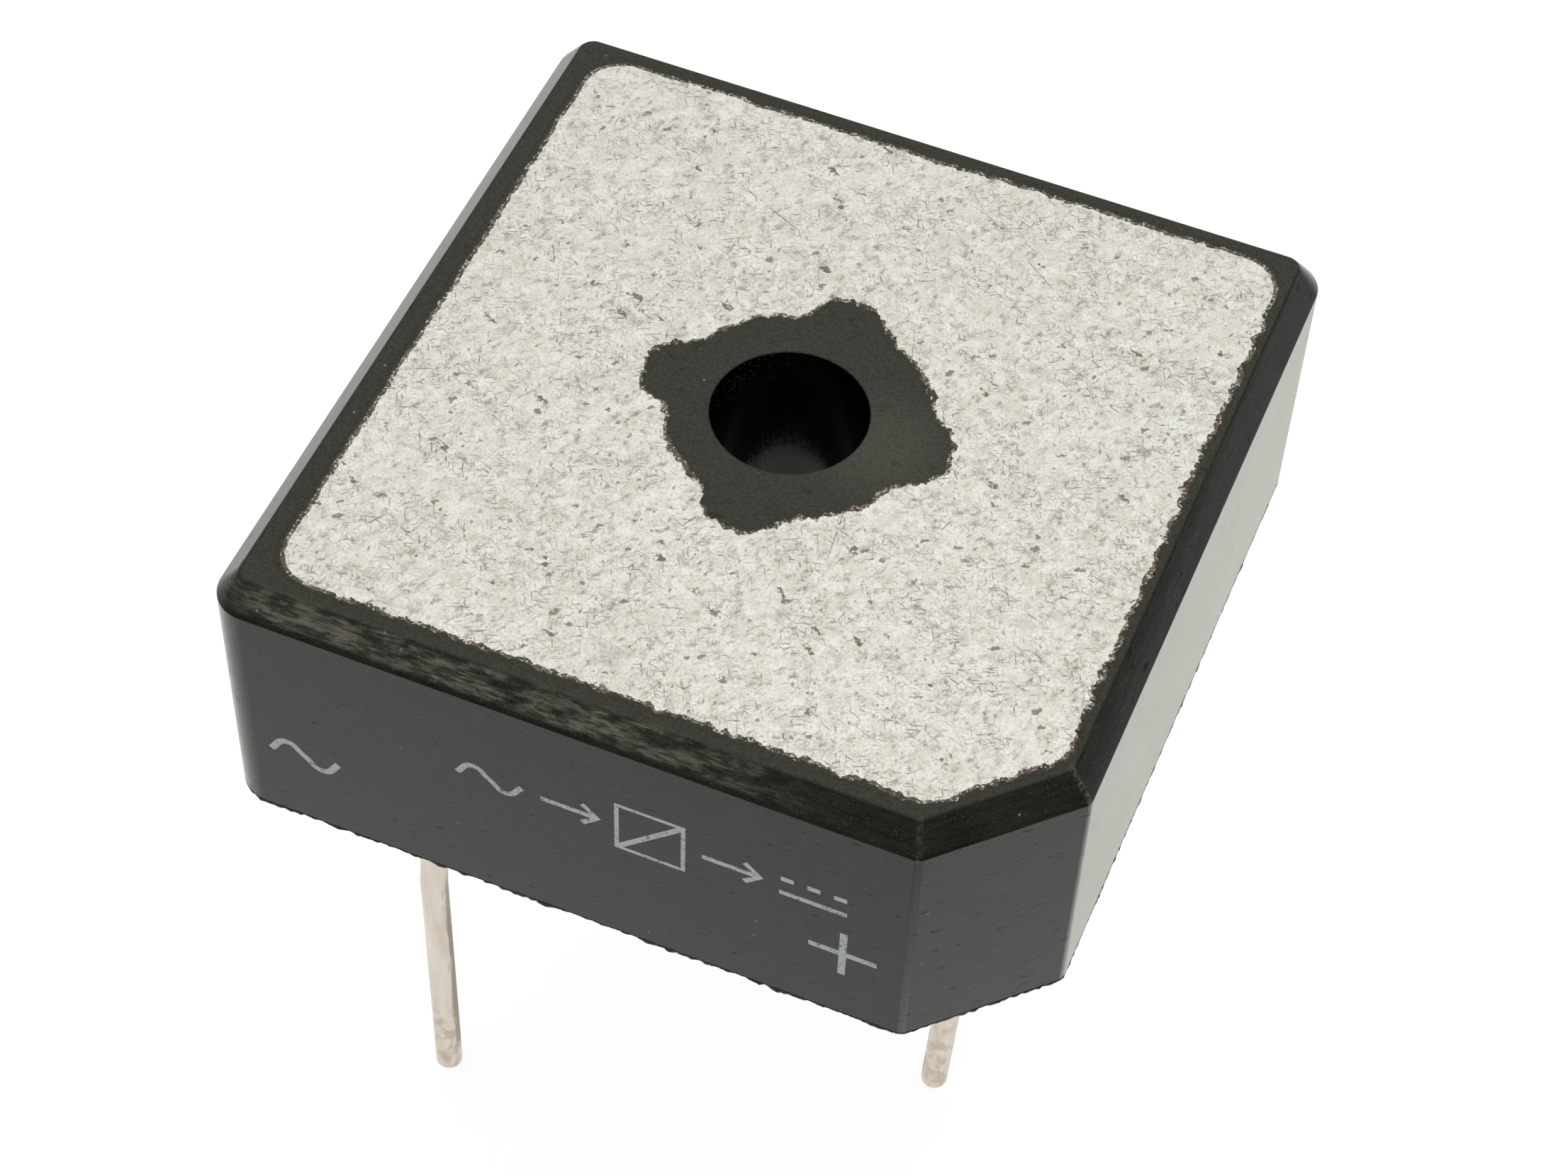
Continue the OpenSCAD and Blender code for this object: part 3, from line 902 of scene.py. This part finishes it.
def makeMoulding():
    piece = copyNode("body", "moulding")
    bevelWhere(piece, lambda p: atLevel(p, topLevel) and onTopOutline(p), mouldingSet["topRound"])
    bevelWhere(piece, lambda p: atLevel(p, footLevel), mouldingSet["footRound"])
    bevelWhere(piece, lambda p: atLevel(p, lowLevel) and onOutline(p), mouldingSet["rimRound"])
    for level in (topLevel, lowLevel):
        bevelWhere(piece, lambda p: atLevel(p, level) and insideBore(p, 0.10), mouldingSet["boreRound"])
    softNormals(piece, mouldingSet["smoothAngle"])
    finishWith(piece, epoxy)
    piece.data.materials.append(boreEpoxy)
    pick(piece, "FACE", lambda f: all(insideBore(piece.data.vertices[i].co / mm, 0.01) for i in f.vertices))
    piece.active_material_index = 1
    bpy.ops.object.material_slot_assign()
    settle(piece, "moulding", "body")


makeMoulding()
print("moulding ready, bevel from", round(footLevel, 2), "to", round(topLevel, 2))

# resin flash over the plate's edges

flashSet = {                                 # millimetres
    "overlap": 0.10,                         # how far it lies back over the moulding
    "edgeBack": 0.08,                        # in from there, its smooth part
    "edgeNear": 0.12,                        # and on over the plate, its ragged part
    "openingSteps": (0.26, 0.64),            # in from the ragged edge, over the resin round the hole
    "fringeSteps": (0.24, 0.06),
    "fringe": 0.14,                          # thin brown resin past the black
    "height": 0.012,
    "depth": 0.05,                           # how far it is keyed into what lies under it
    "dip": 0.004,                            # how far its smooth edge lies under the moulding's top
    "tuck": 0.02,                            # how far the opening's film is drawn past its outline
    "step": 0.05,                            # length of its small edges
    "coarse": (0.50, 0.62),                  # size and strength of the ragged shape
    "fine": (0.19, 0.42),
    "opening": (                             # its outline round the hole, from the hole's axis
        (-1.05, 4.20), (-0.66, 5.00), (0.02, 5.36), (0.80, 5.30), (1.28, 4.80), (1.80, 4.36),
        (2.90, 3.62), (3.92, 2.60), (4.42, 1.82), (5.15, 1.26), (5.50, 0.20), (5.22, -0.90),
        (4.32, -1.46), (3.70, -2.52), (2.62, -3.62), (1.66, -4.16), (1.34, -4.66), (0.68, -5.12),
        (-0.40, -5.14), (-1.05, -4.78), (-1.22, -4.12), (-2.52, -3.28), (-3.28, -2.42), (-3.78, -1.47),
        (-4.76, -0.87), (-5.07, -0.20), (-5.02, 0.90), (-4.12, 1.52), (-3.32, 2.46), (-2.32, 3.56),
    ),
    "openingRagged": 0.9,                    # share of the ragged shape that each edge takes
    "right": (12.6, 1.0),                    # from this x on
    "left": (-12.2, 0.45),                   # up to this x
    "front": 0.70,
    "back": 0.60,
    "corner": 0.18,
    "corners": ((-12.8, -13, 2.6), (-12.8, 13, 3.4), (13.2, 13, 2.4)),   # x, y and reach
}


def edgeRaggedness(p):                       # how ragged the plate's outer edge is at a place
    for x, y, reach in flashSet["corners"]:
        if math.hypot(p.x - x, p.y - y) < reach:
            return flashSet["corner"]
    (rightFrom, right), (leftTo, left) = flashSet["right"], flashSet["left"]
    if p.x > rightFrom:
        return right
    if p.x < leftTo:
        return left
    return flashSet["front"] if p.y < 0 else flashSet["back"]


def openingRaggedness(p):
    return flashSet["openingRagged"]


def plateOutline(name):                      # closed loop of short edges, just outside the plate's outline
    piece = copyNode("base_plate", name)
    pick(piece, "FACE", lambda f: f.normal.z > 0.9 and f.center.z / mm > topLevel - 0.1)
    bpy.ops.mesh.select_all(action="INVERT")
    bpy.ops.mesh.delete(type="FACE")
    pick(piece, "FACE", lambda f: True)
    bpy.ops.mesh.region_to_loop()
    bpy.ops.mesh.select_all(action="INVERT")
    bpy.ops.mesh.delete(type="EDGE")
    pick(piece, "VERT", lambda v: math.hypot(v.co.x, v.co.y) / mm < plateHigh.y / 2)   # the opening's loop
    bpy.ops.mesh.delete(type="VERT")
    shortSteps(piece, flashSet["step"], lambda edge: True)
    grow = 1 + 2 * flashSet["overlap"] / (plateHigh.y - plateLow.y)
    openEdit(piece)
    bpy.ops.mesh.select_all(action="SELECT")
    bpy.ops.transform.resize(value=(grow, grow, 1),
                             center_override=((plateLow.x + plateHigh.x) / 2 * mm, 0, topLevel * mm))
    objectMode()
    return piece


def openingOutline(name, outward):           # the same round the hole, moved outward
    bpy.ops.curve.primitive_bezier_circle_add(radius=1)
    line = bpy.context.object
    spline = line.data.splines[0]
    spline.bezier_points.add(len(flashSet["opening"]) - 4)
    for point, (x, y) in zip(spline.bezier_points, flashSet["opening"]):
        grow = 1 + outward / math.hypot(x, y)
        point.co = (x * grow * mm, y * grow * mm, topLevel * mm)
        point.handle_left_type = point.handle_right_type = "AUTO"
    line.data.resolution_u = 28
    choose(line)
    bpy.ops.object.convert(target="MESH")
    piece = bpy.context.object
    piece.name = piece.data.name = name
    return piece


def makeFilm(loop, steps, raggedRing, height, raggedness, material):
    count = len(loop.data.vertices)          # three rings of so many points: outer, inner, middle
    openEdit(loop)
    bpy.ops.mesh.select_all(action="SELECT")
    bpy.ops.mesh.edge_face_add()
    for width in steps:
        bpy.ops.mesh.inset(thickness=width * mm, use_even_offset=False)
    pick(loop, "FACE", lambda face: len(face.vertices) > 4)
    bpy.ops.mesh.delete(type="ONLY_FACE")
    objectMode()

    ragged = loop.vertex_groups.new(name="ragged")
    for vertex in loop.data.vertices[raggedRing * count:(raggedRing + 1) * count]:
        ragged.add([vertex.index], raggedness(vertex.co / mm), "REPLACE")
    for name in ("coarse", "fine"):
        shake(loop, "ragged", name, *flashSet[name])
    applyAll(loop)

    openEdit(loop)
    bpy.ops.mesh.select_all(action="SELECT")
    bpy.ops.transform.translate(value=(0, 0, height * mm))
    pick(loop, "VERT", lambda v: v.index // count == 1 - raggedRing)     # the other ring
    bpy.ops.transform.translate(value=(0, 0, -(height + flashSet["dip"]) * mm))
    bpy.ops.mesh.select_all(action="SELECT")
    bpy.ops.mesh.extrude_region_move(TRANSFORM_OT_translate={"value": (0, 0, -flashSet["depth"] * mm)})
    bpy.ops.mesh.select_all(action="SELECT")
    bpy.ops.mesh.normals_make_consistent(inside=False)
    objectMode()
    area = sum(face.area for face in loop.data.polygons if face.normal.z > 0.5) / mm / mm
    print(f"{loop.name}: {len(loop.data.polygons)} faces over {area:.1f} square mm")
    finishWith(loop, material)
    settle(loop, "moulding")


def makeFlash():
    height, fringe, tuck = flashSet["height"], flashSet["fringe"], flashSet["tuck"]
    back, near = flashSet["edgeBack"], flashSet["edgeNear"]
    makeFilm(plateOutline("flashEdge"), (back, near), 1, height, edgeRaggedness, epoxy)
    makeFilm(plateOutline("fringeEdge"), (back, near + fringe), 1, height / 2, edgeRaggedness, brownResin)
    makeFilm(openingOutline("flashOpening", tuck), flashSet["openingSteps"], 0, height,
             openingRaggedness, epoxy)
    makeFilm(openingOutline("fringeOpening", tuck + fringe), flashSet["fringeSteps"], 0, height / 2,
             openingRaggedness, brownResin)


makeFlash()
print("flash ready")

# leads

leadSet = {                                  # millimetres
    "tipRound": {"plus_lead": 0.20, "minus_lead": 0.16, "ac_lead_front": 0.07, "ac_lead_back": 0.18},
    "names": {"plus_lead": "leadPlus", "minus_lead": "leadMinus",
              "ac_lead_front": "leadAcFront", "ac_lead_back": "leadAcBack"},
    "tipBand": 0.08,                         # height in which an edge belongs to the tip
    "smoothAngle": 40,                       # degrees
}


def makeLead(nodeName):
    name = leadSet["names"][nodeName]
    piece = copyNode(nodeName, name)
    tip = min(v.co.z for v in piece.data.vertices) / mm
    bevelWhere(piece, lambda p: p.z < tip + leadSet["tipBand"], leadSet["tipRound"][nodeName], segments=4)
    softNormals(piece, leadSet["smoothAngle"])
    finishWith(piece, makeTin(name.replace("lead", "tin"), *leadTones[nodeName]))
    settle(piece, "tinned_wire", nodeName)


for nodeName in leadSet["names"]:
    makeLead(nodeName)
print("leads ready")

# printed marks on the front wall

printSet = {                                 # millimetres, heights down from the top of the moulding
    "stroke": 0.27,
    "ink": 0.010,
    "plus": (7.94, 7.54, 2.35),              # x, height and span
    "wave": (-11.15, 7.45, 2.5),             # the terminal at the other corner: alternating current
    "row": (1.25, 4.9, 2.3),                 # middle of the row of signs, and their size
    "rowStroke": 0.23,
    "arrowAt": 2.8,                          # out from the middle of the row
    "arrow": (1.0, 0.45, 0.5),               # half its length, where its head starts, half the head's height
    "signAt": 5.6,
    "dash": (0.22, 0.9, 0.38),               # half a dash, their spacing, and their height over the middle
}


def straight(*points, closed=False):
    return points, closed, "VECTOR"


def wave(x, z, width):                       # one period of a sine
    height = width * 0.19
    points = [(x - width / 2, z - height * 0.4), (x - width / 4, z + height), (x, z),
              (x + width / 4, z - height), (x + width / 2, z + height * 0.4)]
    return points, False, "AUTO"


def stroke(points, closed, handles, width):
    bpy.ops.curve.primitive_bezier_curve_add(enter_editmode=False, location=(0, 0, 0))
    line = bpy.context.object
    spline = line.data.splines[0]
    spline.bezier_points.add(len(points) - 2)
    for point, (x, z) in zip(spline.bezier_points, points):
        point.co = (x * mm, 0, z * mm)
        point.handle_left_type = point.handle_right_type = handles
    spline.use_cyclic_u = closed
    line.data.dimensions = "3D"
    line.data.resolution_u = 10
    line.data.bevel_depth = width / 2 * mm
    line.data.bevel_resolution = 3
    line.data.use_fill_caps = True
    choose(line)
    bpy.ops.object.convert(target="MESH")
    return bpy.context.object


def makeMark(name, strokes, width):
    parts = [stroke(*line, width) for line in strokes]
    choose(parts[0])
    for part in parts[1:]:
        part.select_set(True)
    if len(parts) > 1:
        bpy.ops.object.join()
    piece = bpy.context.object
    piece.name = piece.data.name = name
    openEdit(piece)
    bpy.ops.mesh.select_all(action="SELECT")
    bpy.ops.mesh.normals_make_consistent(inside=False)
    flat = 2 * printSet["ink"] / width
    bpy.ops.transform.resize(value=(1, flat, 1), center_override=(0, 0, 0))
    bpy.ops.transform.translate(value=(0, bodyLow.y * mm, topLevel * mm))
    objectMode()
    finishWith(piece, ink)
    settle(piece, "moulding")


def makeMarks():
    x, down, size = printSet["plus"]
    half = size / 2
    makeMark("markPlus", [straight((x - half, -down), (x + half, -down)),
                          straight((x, -down - half), (x, -down + half))], printSet["stroke"])
    x, down, size = printSet["wave"]
    makeMark("markWave", [wave(x, -down, size)], printSet["stroke"])
    # alternating current in, converter, direct current out
    x, down, size = printSet["row"]
    z, half, thin = -down, size / 2, printSet["rowStroke"]
    arrowAt, signAt = printSet["arrowAt"], printSet["signAt"]
    makeMark("markSource", [wave(x - signAt, z, size)], thin)
    long, head, wing = printSet["arrow"]
    for name, middle in (("markArrowIn", x - arrowAt), ("markArrowOut", x + arrowAt)):
        makeMark(name, [straight((middle - long, z), (middle + long, z)),
                        straight((middle + head, z + wing), (middle + long, z),
                                 (middle + head, z - wing))], thin)
    low, high = (x - half, z - half), (x + half, z + half)
    makeMark("markConverter", [straight(low, (x + half, z - half), high, (x - half, z + half), closed=True),
                               straight(low, high)], thin)
    far = x + signAt
    dash, apart, over = printSet["dash"]
    dashes = [straight((far + at - dash, z + over), (far + at + dash, z + over)) for at in (-apart, 0, apart)]
    makeMark("markSupply", [straight((far - half, z - over), (far + half, z - over))] + dashes, thin)


makeMarks()
print("marks ready")

# finishes of the frame's own parts

finishOf = {"base_plate": aluminium, "solder": solder, "electrode": copper, "die": silicon}
for nodeName, node in nodes.items():
    for word, finish in finishOf.items():    # solder comes before die, whose name some solder has
        if word in nodeName:
            finishWith(node, finish)
            break
print("finishes on the frame's own parts ready")
